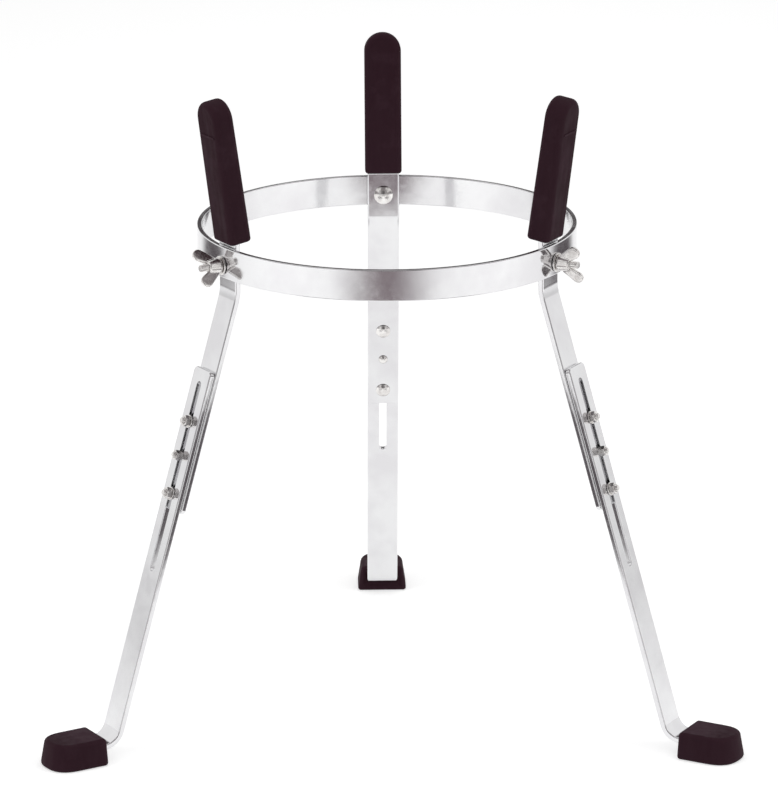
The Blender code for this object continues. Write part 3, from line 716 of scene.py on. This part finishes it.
def headProfile(diameter, height):
    # Domed head, from its crown to its rim, with a small flat on the rim
    dome = height - height * boltForm["headRim"]
    sphere = ((diameter / 2) ** 2 + dome ** 2) / (2 * dome)
    limit = math.asin(diameter / 2 / sphere)
    steps = boltForm["headSteps"]
    turns = [limit * i / steps for i in range(steps + 1)]
    points = [(sphere * math.sin(t), -height + sphere * (1 - math.cos(t)) - gap) for t in turns]
    return points + [(diameter / 2, -gap)]


def shankRows(radius, low, high, pitch):
    count = max(2, round((high - low) / pitch * boltForm["rowsPerTurn"]))
    return [(radius, low + (high - low) * i / count) for i in range(count + 1)]


def squareNeck(bm, radius, corner):
    # The turned neck is pressed in to four flats
    for vert in bm.verts:
        onNeck = -gap - nearly < vert.co.z < boltForm["neckLength"] + nearly
        if onNeck and math.hypot(vert.co.x, vert.co.y) < corner + nearly:
            reach = max(abs(vert.co.x), abs(vert.co.y))
            if reach > radius:
                vert.co.x *= radius / reach
                vert.co.y *= radius / reach


def cutThread(bm, radius, low, high, pitch):
    # A V thread: each vertex of the plain shank sinks by where it stands on the helix
    depth = pitch * boltForm["threadDepth"]
    for vert in bm.verts:
        distance = math.hypot(vert.co.x, vert.co.y)
        if low < vert.co.z < high and abs(distance - radius) < nearly:
            turn = math.atan2(vert.co.y, vert.co.x) / math.tau
            share = (vert.co.z / pitch - turn) % 1.0
            fade = min(1.0, (vert.co.z - low) / pitch, (high - vert.co.z) / pitch)
            shrink = 1 - depth * abs(2 * share - 1) * fade / radius
            vert.co.x *= shrink
            vert.co.y *= shrink


def makeBolt(name, size, bolt, length, place, node, square=True):
    # Drawn along Z from the face that its head bears on
    radius, pitch = size / 2, bolt["pitch"]
    neck, corner = boltForm["neckLength"], radius * boltForm["neckCorner"]
    profile = headProfile(bolt["headDiameter"], bolt["headHeight"])
    if square:
        first = neck + boltForm["plainBelowNeck"]
        profile += [(corner, -gap), (corner, neck), (radius, neck + boltForm["neckSlope"])]
    else:
        first = boltForm["plainBelowHead"]
        profile += [(radius, -gap)]
    chamfer = pitch * boltForm["endChamfer"]
    profile += shankRows(radius, first, length - chamfer, pitch)
    profile += [(radius - chamfer, length), (0.0, length)]
    bm = spunForm(profile, boltForm["sides"])
    if square:
        squareNeck(bm, radius, corner)
    cutThread(bm, radius, first, length - chamfer / 2, pitch)
    bm.transform(place)
    addPiece(name, bm, "zinc_hardware", "ring_and_uprights", [node], "bolt")


# Washers and nuts

ringWasher = {"diameter": 0.0155, "thickness": 0.0016}
clampWasher = {"diameter": 0.0105, "thickness": 0.001}
clampNut = {"flats": 0.008, "height": 0.004}
stopNut = {"flats": 0.007, "height": 0.006}
washerForm = {"sides": 48, "edgeShare": 0.25, "edgeSteps": 2}   # the share is of its thickness
nutForm = {
    "sides": 72,
    "topSlope": 0.16,         # of the height
    "topReach": 0.94,         # of the distance to the flats
    "topSteps": 5,
    "boreEase": 0.0003,
    "boreRows": 12,
    "clearOfBore": 0.0005,
}


def makeWasher(name, washer, bore, place, node):
    outer, thick = washer["diameter"] / 2, washer["thickness"]
    bm = spunForm(roundedOutline(bore / 2, outer, 0.0, thick, thick * washerForm["edgeShare"],
                                 washerForm["edgeSteps"]), washerForm["sides"])
    bm.transform(place)
    addPiece(name, bm, "zinc_hardware", "ring_and_uprights", [node])


def makeHexNut(name, nut, bore, place, node):
    height, hole, ease = nut["height"], bore / 2, nutForm["boreEase"]
    corner, apothem = nut["flats"] / math.sqrt(3), nut["flats"] / 2
    rise, reach = height * nutForm["topSlope"], apothem * nutForm["topReach"]
    steps, rows = nutForm["topSteps"], nutForm["boreRows"]
    profile = [(hole + ease, 0.0), (corner, 0.0)]
    profile += [(corner - (corner - reach) * i / steps, height - rise * (1 - i / steps))
                for i in range(steps + 1)]
    profile += [(hole + ease, height), (hole, height - ease)]
    profile += [(hole, (height - ease) + (2 * ease - height) * i / rows) for i in range(1, rows + 1)]
    bm = spunForm(profile, nutForm["sides"])
    for vert in bm.verts:   # six flats are milled on the turned blank
        distance = math.hypot(vert.co.x, vert.co.y)
        if distance > hole + nutForm["clearOfBore"]:
            turn = math.atan2(vert.co.y, vert.co.x) % (math.pi / 3) - math.pi / 6
            limit = apothem / math.cos(turn)
            if distance > limit:
                vert.co.x *= limit / distance
                vert.co.y *= limit / distance
    bm.transform(place)
    addPiece(name, bm, "zinc_hardware", "ring_and_uprights", [node])


# Wing nuts

wingNut = {
    "hubDiameter": 0.0132,
    "hubTop": 0.0105,
    "hubHeight": 0.0105,
    "hubRim": 0.0018,
    "hubSides": 64,
    "lowerEase": 0.0003,
    "upperEase": 0.0006,
    "span": 0.0325,
    "tipHeight": 0.0200,
    "tipRadius": 0.0051,
    "tipArc": (-38, 150),
    "tipSteps": 18,
    "thickness": 0.0030,
    "edgeShare": 0.32,        # of the thickness
    "edgeSteps": 3,
    "aboveSeat": 0.0012,
    "belowHubTop": 0.0008,
    "rootIn": 0.5,            # where the wing starts and leaves the hub, as shares of its radii
    "rootOut": 0.95,
    "voxel": 0.00038,
    "softenBy": 0.5,
    "softenTimes": 7,
    "boreSides": 36,
    "borePast": 0.002,
    "turns": {"rear": 20.0, "left": 38.0, "right": 18.0},
}


def wingNutForm():
    hubRadius, hubTop, hubHeight = wingNut["hubDiameter"] / 2, wingNut["hubTop"] / 2, wingNut["hubHeight"]
    low, high = wingNut["lowerEase"], wingNut["upperEase"]
    hub = spunForm([(0.0, 0.0), (hubRadius - low, 0.0), (hubRadius, low), (hubRadius, wingNut["hubRim"]),
                    (hubTop, hubHeight - high), (hubTop - high, hubHeight), (0.0, hubHeight)],
                   wingNut["hubSides"])
    reach = wingNut["span"] / 2 - wingNut["tipRadius"]
    tipHeight = wingNut["tipHeight"] - wingNut["tipRadius"]
    outline = [(hubTop * wingNut["rootIn"], wingNut["aboveSeat"]),
               (hubRadius * wingNut["rootOut"], wingNut["aboveSeat"])]
    outline += arcPoints((reach, tipHeight), wingNut["tipRadius"], *wingNut["tipArc"], wingNut["tipSteps"])
    outline += [(hubTop * wingNut["rootIn"], hubHeight - wingNut["belowHubTop"])]
    for turn in (0.0, math.pi):
        wing = raisedPlate(outline, -wingNut["thickness"] / 2, wingNut["thickness"] / 2)
        roundEdges(wing, [e for e in wing.edges if isLevel(e)], wingNut["thickness"] * wingNut["edgeShare"],
                   wingNut["edgeSteps"])
        wing.transform(Matrix.Rotation(turn, 4, "Z") @ Matrix.Rotation(math.pi / 2, 4, "X"))
        hub = mixMeshes(hub, wing, "UNION")
    # A fine remesh and a few smoothing passes leave the fillets of a casting where the wings meet the hub
    blank = linkNew("blank", meshFrom("blank", hub))
    remesh = blank.modifiers.new("remesh", "REMESH")
    remesh.mode = "VOXEL"
    remesh.voxel_size = wingNut["voxel"]
    soften = blank.modifiers.new("soften", "SMOOTH")
    soften.factor = wingNut["softenBy"]
    soften.iterations = wingNut["softenTimes"]
    drill = roundDrill(fixingSize["ringBolt"] + fixingSize["play"], wingNut["boreSides"],
                       -wingNut["borePast"], wingNut["tipHeight"])
    return mixMeshes(finishedForm(blank), drill, "DIFFERENCE")


# The fixings in their places

def acrossRing(side, distance):
    # Z outward through the ring bolt's hole, at a distance from the ring's axis
    return (legPlace(side) @ Matrix.Translation((distance, 0.0, boltHeight))
            @ Matrix.Rotation(math.pi / 2, 4, "Y"))


def acrossLeg(side, level, outward):
    # Z outward through a hole of the clamp, at a distance from the middle of the upper bar
    return (legPlace(side) @ Matrix.Translation(downLeg(clampAt[level], outward))
            @ Matrix.Rotation(math.pi / 2 - legLine["splay"], 4, "Y"))


def makeRingFixings():
    castForm = wingNutForm()
    face = barCentre - flatBar["thickness"] / 2
    washerBase = ringOuter + gap
    nutBase = washerBase + ringWasher["thickness"] + gap
    for side in legTurns:
        makeBolt(f"{side}RingBolt", fixingSize["ringBolt"], ringBolt,
                 nutBase + wingNut["hubHeight"] + ringBolt["pastNut"] - face, acrossRing(side, face),
                 f"{side}_ring_bolt")
        makeWasher(f"{side}RingWasher", ringWasher, fixingSize["ringBolt"] + fixingSize["play"],
                   acrossRing(side, washerBase), f"{side}_ring_washer")
        nut = castForm.copy()
        nut.transform(acrossRing(side, nutBase)
                      @ Matrix.Rotation(math.radians(wingNut["turns"][side]), 4, "Z"))
        addPiece(f"{side}WingNut", nut, "zinc_hardware", f"{side}_thumb_nut", [f"{side}_wing_nut"],
                 "wingNut")
    castForm.free()


def makeClampFixings():
    inside = -flatBar["thickness"] / 2
    washerBase = barSpacing + flatBar["thickness"] / 2 + gap
    nutBase = washerBase + clampWasher["thickness"] + gap
    bore = fixingSize["clampBolt"] + fixingSize["play"]
    for side in legTurns:
        for level in ("upper", "lower"):
            name, node = f"{side}{level.title()}Clamp", f"{side}_{level}_clamp"
            makeBolt(name + "Bolt", fixingSize["clampBolt"], clampBolt,
                     nutBase + clampNut["height"] + clampBolt["pastNut"] - inside,
                     acrossLeg(side, level, inside), node + "_bolt")
            makeWasher(name + "Washer", clampWasher, bore, acrossLeg(side, level, washerBase),
                       node + "_washer")
            makeHexNut(name + "Nut", clampNut, bore, acrossLeg(side, level, nutBase), node + "_nut")
        makeBolt(f"{side}StopScrew", fixingSize["stopScrew"], stopScrew,
                 washerBase + stopNut["height"] + stopScrew["pastNut"] - inside,
                 acrossLeg(side, "stop", inside), f"{side}_stop_screw", square=False)
        makeHexNut(f"{side}StopNut", stopNut, fixingSize["stopScrew"] + fixingSize["play"],
                   acrossLeg(side, "stop", washerBase), f"{side}_stop_nut")


makeRingFixings()
makeClampFixings()
print("fixings made")


# Studio

studio = {
    "floorSize": 60.0,
    "floorColour": "#E6E6E6",
    "floorBelow": 0.0002,
    "floorLift": 0.48,        # makes the lit floor meet the white background
    "worldLight": 0.40,
    "cameraPlace": (-0.0826, -4.1277, 1.4648),
    "cameraTurn": (73.385, 0.211, -1.245),
    "lensMm": 235.0,
    "sensorMm": 36.0,
}
white = toLinear("#FFFFFF")


def emptyTree(owner):
    owner.use_nodes = True
    owner.node_tree.nodes.clear()
    return owner.node_tree


def seenRays(tree):
    # 1 for what is looked at, straight or in a mirror, and 0 for the light that falls on things
    path = addNode(tree, "ShaderNodeLightPath")
    seen = path.outputs["Is Camera Ray"]
    for kind in ("Is Glossy Ray", "Is Transmission Ray"):
        either = addNode(tree, "ShaderNodeMath", {"operation": "MAXIMUM"}, {0: seen, 1: path.outputs[kind]})
        seen = either.outputs["Value"]
    return seen


def whitePaper():
    # Matt paper sweep
    made = bpy.data.materials.new("whitePaper")
    tree = emptyTree(made)
    lift = addNode(tree, "ShaderNodeMath", {"operation": "MULTIPLY", 1: studio["floorLift"]},
                   {0: seenRays(tree)})
    matt = addNode(tree, "ShaderNodeBsdfDiffuse", {"Color": toLinear(studio["floorColour"])})
    glow = addNode(tree, "ShaderNodeEmission", {"Color": white}, {"Strength": lift.outputs["Value"]})
    both = addNode(tree, "ShaderNodeAddShader", None,
                   {0: matt.outputs["BSDF"], 1: glow.outputs["Emission"]})
    addNode(tree, "ShaderNodeOutputMaterial", None, {"Surface": both.outputs["Shader"]})
    return made


def makeFloor():
    bm = bmesh.new()
    bmesh.ops.create_grid(bm, x_segments=1, y_segments=1, size=studio["floorSize"] / 2)
    bmesh.ops.translate(bm, verts=bm.verts, vec=(0.0, 0.0, cadLow.z - studio["floorBelow"]))
    floor = linkNew("studioFloor", meshFrom("studioFloor", bm))
    floor.data.materials.append(whitePaper())
    for side in legTurns:   # when a leg slides out, the floor goes down with its foot
        under = floor.constraints.new("FLOOR")
        under.target = bpy.data.objects[f"{side}Foot"]
        under.floor_location = "FLOOR_NEGATIVE_Z"


def makeWorld():
    world = bpy.data.worlds.new("studioWorld")
    bpy.context.scene.world = world
    tree = emptyTree(world)
    level = addNode(tree, "ShaderNodeMapRange", {"To Min": studio["worldLight"], "To Max": 1.0},
                    {"Value": seenRays(tree)})
    sky = addNode(tree, "ShaderNodeBackground", {"Color": white}, {"Strength": level.outputs["Result"]})
    addNode(tree, "ShaderNodeOutputWorld", None, {"Surface": sky.outputs["Background"]})


# Boards that glow and that only the bright metal mirrors: painted reflections of the dark studio round the
# white sweep and of the sweep's end, and two white ones, leftGlow and rightGlow, that paint highlights. Each
# has a place, width and height, tilt and turn, grey, and where its fade starts across and along, from
# 0 at its middle to 0.5 at its edge
mirrorBoards = {
    "frontWall": {"place": (0.0, -5.6, 1.9), "size": (6.0, 3.8), "turns": (90.0, 0.0),
                  "grey": "#4A4547", "fade": (0.22, 0.40)},
    "backBoard": {"place": (0.0, 1.3, 1.16), "size": (1.8, 1.0), "turns": (90.0, 0.0),
                  "grey": "#4A4547", "fade": (0.30, 0.42)},
    "leftWall": {"place": (-3.6, -2.6, 1.05), "size": (4.6, 2.1), "turns": (90.0, 90.0),
                 "grey": "#857F82", "fade": (0.25, 0.10)},
    "rightWall": {"place": (3.6, -2.6, 1.05), "size": (4.6, 2.1), "turns": (90.0, 90.0),
                  "grey": "#857F82", "fade": (0.25, 0.10)},
    "ceiling": {"place": (0.0, -2.6, 3.7), "size": (8.0, 6.8), "turns": (0.0, 0.0),
                "grey": "#8C8789", "fade": (0.36, 0.36)},
    "leftGlow": {"place": (-1.7, -2.1, 2.9), "size": (1.3, 1.3), "turns": (35.0, 0.0),
                 "grey": "#FFFFFF", "fade": (0.3, 0.3)},
    "rightGlow": {"place": (1.7, -2.1, 2.9), "size": (1.3, 1.3), "turns": (35.0, 0.0),
                  "grey": "#FFFFFF", "fade": (0.3, 0.3)},
    "sweepEnd": {"place": (-0.05, -1.90, 0.004), "size": (1.9, 1.20), "turns": (0.0, 0.0),
                 "grey": "#8F8488", "fade": (0.0, 0.41)},
    "leftGrey": {"place": (-0.42, -0.57, 0.004), "size": (0.66, 0.6), "turns": (0.0, 30.0),
                 "grey": "#645F62", "fade": (0.3, 0.1)},
    "rightGrey": {"place": (0.42, -0.57, 0.004), "size": (0.66, 0.6), "turns": (0.0, -30.0),
                  "grey": "#645F62", "fade": (0.3, 0.1)},
    "leftBack": {"place": (-1.2, 0.85, 0.004), "size": (1.0, 1.0), "turns": (0.0, 0.0),
                 "grey": "#625D60", "fade": (0.15, 0.15)},
    "rightBack": {"place": (1.2, 0.85, 0.004), "size": (1.0, 1.0), "turns": (0.0, 0.0),
                  "grey": "#625D60", "fade": (0.15, 0.15)},
}


def reflectionGlow(name, grey, starts):
    # Glowing grey, seen only in mirrored metal, that thins out towards the board's edges, so that the
    # mirrored edge stays soft: a painted reflection
    glowSheet = bpy.data.materials.new(name)
    tree = emptyTree(glowSheet)
    place = addNode(tree, "ShaderNodeTexCoord").outputs["UV"]
    away = addNode(tree, "ShaderNodeVectorMath", {"operation": "ABSOLUTE"}, {0: place})
    apart = addNode(tree, "ShaderNodeSeparateXYZ", None, {"Vector": away.outputs["Vector"]})
    cover = [addNode(tree, "ShaderNodeMapRange",
                     {"From Min": start, "From Max": 0.5, "To Min": 1.0, "To Max": 0.0,
                      "interpolation_type": "SMOOTHSTEP"},
                     {"Value": apart.outputs[axis]})
             for axis, start in enumerate(starts)]
    both = addNode(tree, "ShaderNodeMath", {"operation": "MULTIPLY"},
                   {0: cover[0].outputs["Result"], 1: cover[1].outputs["Result"]})
    # The board glows at its grey and no lamp lights it: painted shade in the metal, or a painted highlight
    # where the grey is white
    dark = addNode(tree, "ShaderNodeEmission", {"Color": toLinear(grey), "Strength": 1.0})
    clear = addNode(tree, "ShaderNodeBsdfTransparent")
    mixed = addNode(tree, "ShaderNodeMixShader", None,
                    {"Fac": both.outputs["Value"], 1: clear.outputs["BSDF"], 2: dark.outputs["Emission"]})
    addNode(tree, "ShaderNodeOutputMaterial", None, {"Surface": mixed.outputs["Shader"]})
    return glowSheet


def makeBoard(name, card):
    bm = bmesh.new()
    bmesh.ops.create_grid(bm, x_segments=1, y_segments=1, size=0.5)
    layer = bm.loops.layers.uv.new("board")
    for face in bm.faces:
        for loop in face.loops:
            loop[layer].uv = loop.vert.co.xy
    tilt, turn = (math.radians(angle) for angle in card["turns"])
    bm.transform(Matrix.Translation(card["place"]) @ Matrix.Rotation(turn, 4, "Z")
                 @ Matrix.Rotation(tilt, 4, "X") @ Matrix.Diagonal((*card["size"], 1.0, 1.0)))
    board = linkNew(name, meshFrom(name, bm))
    board.data.materials.append(reflectionGlow(name + "ReflectionGlow", card["grey"], card["fade"]))
    # Hidden from the camera, from the light that falls on things and from shadows: the board is only a
    # painted reflection in the metal
    board.visible_camera = False
    board.visible_diffuse = False
    board.visible_shadow = False


# Soft boxes: place, aim, size and power. The metal mirrors the white sweep and the boards in their stead
softBoxes = {
    "topBox": {"place": (0.2, -0.6, 2.6), "aim": (0.0, 0.0, 0.2), "size": (2.2, 2.2), "power": 16.0},
    "leftBox": {"place": (-2.9, -1.5, 1.3), "aim": (0.0, 0.0, 0.2), "size": (1.2, 1.6), "power": 34.0},
    "rightBox": {"place": (3.0, -1.3, 1.3), "aim": (0.0, 0.0, 0.2), "size": (1.2, 1.6), "power": 32.0},
    "backBox": {"place": (0.2, 2.8, 1.8), "aim": (0.0, 0.0, 0.25), "size": (2.0, 1.2), "power": 9.0},
}


def makeSoftBox(name, lamp):
    data = bpy.data.lights.new(name, "AREA")
    data.shape = "RECTANGLE"
    data.size, data.size_y = lamp["size"]
    data.energy = lamp["power"]
    box = linkNew(name, data)
    box.visible_glossy = False
    box.location = lamp["place"]
    box.rotation_euler = (Vector(lamp["aim"]) - Vector(lamp["place"])).to_track_quat("-Z", "Y").to_euler()


def makeCamera():
    data = bpy.data.cameras.new("photoCamera")
    data.lens = studio["lensMm"]
    data.sensor_width = studio["sensorMm"]
    camera = linkNew("photoCamera", data)
    camera.location = studio["cameraPlace"]
    camera.rotation_euler = [math.radians(turn) for turn in studio["cameraTurn"]]
    bpy.context.scene.camera = camera


makeFloor()
makeWorld()
for name, card in mirrorBoards.items():
    makeBoard(name, card)
for name, lamp in softBoxes.items():
    makeSoftBox(name, lamp)
makeCamera()
bpy.context.scene.view_settings.view_transform = "Standard"
print("studio made")
